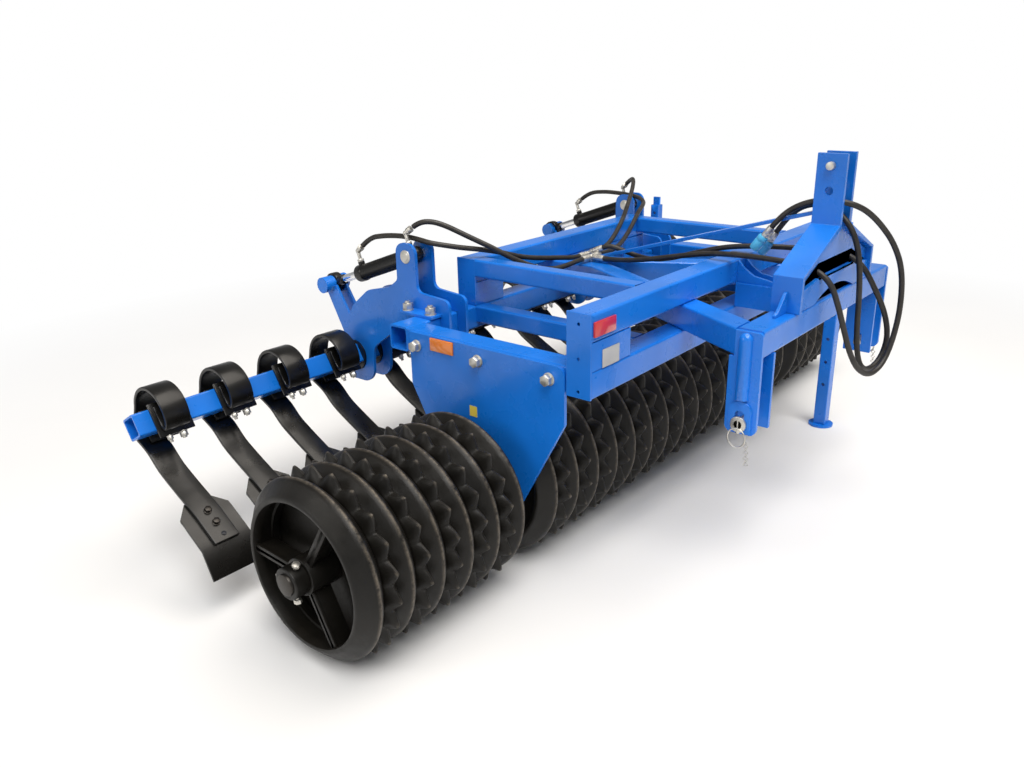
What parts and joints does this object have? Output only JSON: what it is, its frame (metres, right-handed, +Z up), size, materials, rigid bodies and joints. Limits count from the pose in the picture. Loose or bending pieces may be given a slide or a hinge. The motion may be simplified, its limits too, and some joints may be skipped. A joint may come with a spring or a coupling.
{
  "type": "front-mounted Cambridge land roller with a hydraulic row of levelling tines",
  "caption": "Ridged and toothed ring roller in a square-tube frame on a three-point hitch, with a hydraulically tilted row of spring tines ahead of it.",
  "frame": {"origin": "on the ground, below the middle of the roller's shaft, at the tip of the middle star ring's lowest tooth", "axes": "+X along the roller's shaft, to the right seen from the hitch; +Y from the hitch side to the tine side, the way it travels when pushed; +Z up"},
  "size_m": [3.231, 1.8088, 1.217],
  "materials": {
    "black_paint": "gloss",
    "blank_plate": "satin",
    "blue_paint": "gloss",
    "cast_iron": "semi-matt, worn on the ridges",
    "chrome": "ground",
    "light_blue": "satin",
    "orange_reflector": "prismatic",
    "red_reflector": "prismatic",
    "rubber": "satin",
    "steel": "turned",
    "zinc": "zinc plated"
  },
  "bodies": {
    "frame": {"beam_lower_hitch": "blue_paint", "beam_lower_tine": "blue_paint", "beam_upper_hitch": "blue_paint", "beam_upper_tine": "blue_paint", "bearings": "blue_paint", "caps_hitch": "blue_paint", "caps_tine": "blue_paint", "couplers": "light_blue", "cylinder_pins": "zinc", "drawbar_left": "blue_paint", "drawbar_right": "blue_paint", "hitch_crossbeam": "blue_paint", "hose_far_base": "rubber", "hose_far_rod": "rubber", "hose_fittings": "zinc", "hose_main_far": "rubber", "hose_main_near": "rubber", "hose_near_base": "rubber", "hose_near_rod": "rubber", "link_brackets": "blue_paint", "link_pins": "zinc", "mast_plate_left": "blue_paint", "mast_plate_right": "blue_paint", "mast_stay": "blue_paint", "mast_web": "blue_paint", "nameplate": "blank_plate", "rails_lower": "blue_paint", "rails_outer": "blue_paint", "rails_upper": "blue_paint", "reflectors_orange": "orange_reflector", "reflectors_red": "red_reflector", "side_plate_left": "blue_paint", "side_plate_right": "blue_paint", "spacer_middle": "blue_paint", "spacers_hitch": "blue_paint", "spacers_tine": "blue_paint", "spine": "blue_paint", "stand_sleeve_hitch": "blue_paint", "stand_sleeve_tine": "blue_paint", "tine_brackets": "blue_paint", "top_link_pin": "zinc"},
    "roller": {"roller_shaft": "steel", "shaft_collars": "cast_iron", "smooth_rings_left": "cast_iron", "smooth_rings_middle": "cast_iron", "smooth_rings_right": "cast_iron", "star_rings_left": "cast_iron", "star_rings_middle": "cast_iron", "star_rings_right": "cast_iron"},
    "tine_carrier": {"levers": "blue_paint", "tine_blades": "black_paint", "tine_bushes": "black_paint", "tine_shaft": "blue_paint", "tines": "black_paint"},
    "cylinder_barrel_left": {"cylinder_barrel_left": "black_paint"},
    "cylinder_barrel_right": {"cylinder_barrel_right": "black_paint"},
    "cylinder_rod_left": {"cylinder_rod_left": "chrome"},
    "cylinder_rod_right": {"cylinder_rod_right": "chrome"},
    "stand_leg_hitch": {"stand_leg_hitch": "blue_paint"},
    "stand_leg_tine": {"stand_leg_tine": "blue_paint"}
  },
  "joints": [
    {"name": "roller_spin", "type": "hinge", "parent": "frame", "child": "roller", "pos_m": [0, 0, 0.268], "axis": [1, 0, 0], "continuous": true},
    {"name": "tine_tilt", "type": "hinge", "parent": "frame", "child": "tine_carrier", "pos_m": [0, 0.745, 0.492], "axis": [-1, 0, 0], "range_deg": [-15, 12]},
    {"name": "barrel_swing_left", "type": "hinge", "parent": "frame", "child": "cylinder_barrel_left", "pos_m": [-0.669, 0.45, 0.89], "axis": [1, 0, 0], "range_deg": [-4, 4]},
    {"name": "rod_slide_left", "type": "slide", "parent": "cylinder_barrel_left", "child": "cylinder_rod_left", "axis": [0, 0.9423, -0.3346], "range_m": [-0.0736, 0.0593]},
    {"name": "barrel_swing_right", "type": "hinge", "parent": "frame", "child": "cylinder_barrel_right", "pos_m": [0.669, 0.45, 0.89], "axis": [1, 0, 0], "range_deg": [-4, 4]},
    {"name": "rod_slide_right", "type": "slide", "parent": "cylinder_barrel_right", "child": "cylinder_rod_right", "axis": [0, 0.9423, -0.3346], "range_m": [-0.0736, 0.0593]},
    {"name": "stand_slide_hitch", "type": "slide", "parent": "frame", "child": "stand_leg_hitch", "axis": [0, 0, 1], "range_m": [0, 0.3]},
    {"name": "stand_slide_tine", "type": "slide", "parent": "frame", "child": "stand_leg_tine", "axis": [0, 0, 1], "range_m": [0, 0.3]}
  ],
  "couplings": [
    {"joint": "barrel_swing_left", "follows": "tine_tilt", "ratio": -0.096},
    {"joint": "rod_slide_left", "follows": "tine_tilt", "m_per_rad": 0.2735},
    {"joint": "barrel_swing_right", "follows": "tine_tilt", "ratio": -0.096},
    {"joint": "rod_slide_right", "follows": "tine_tilt", "m_per_rad": 0.2735}
  ]
}
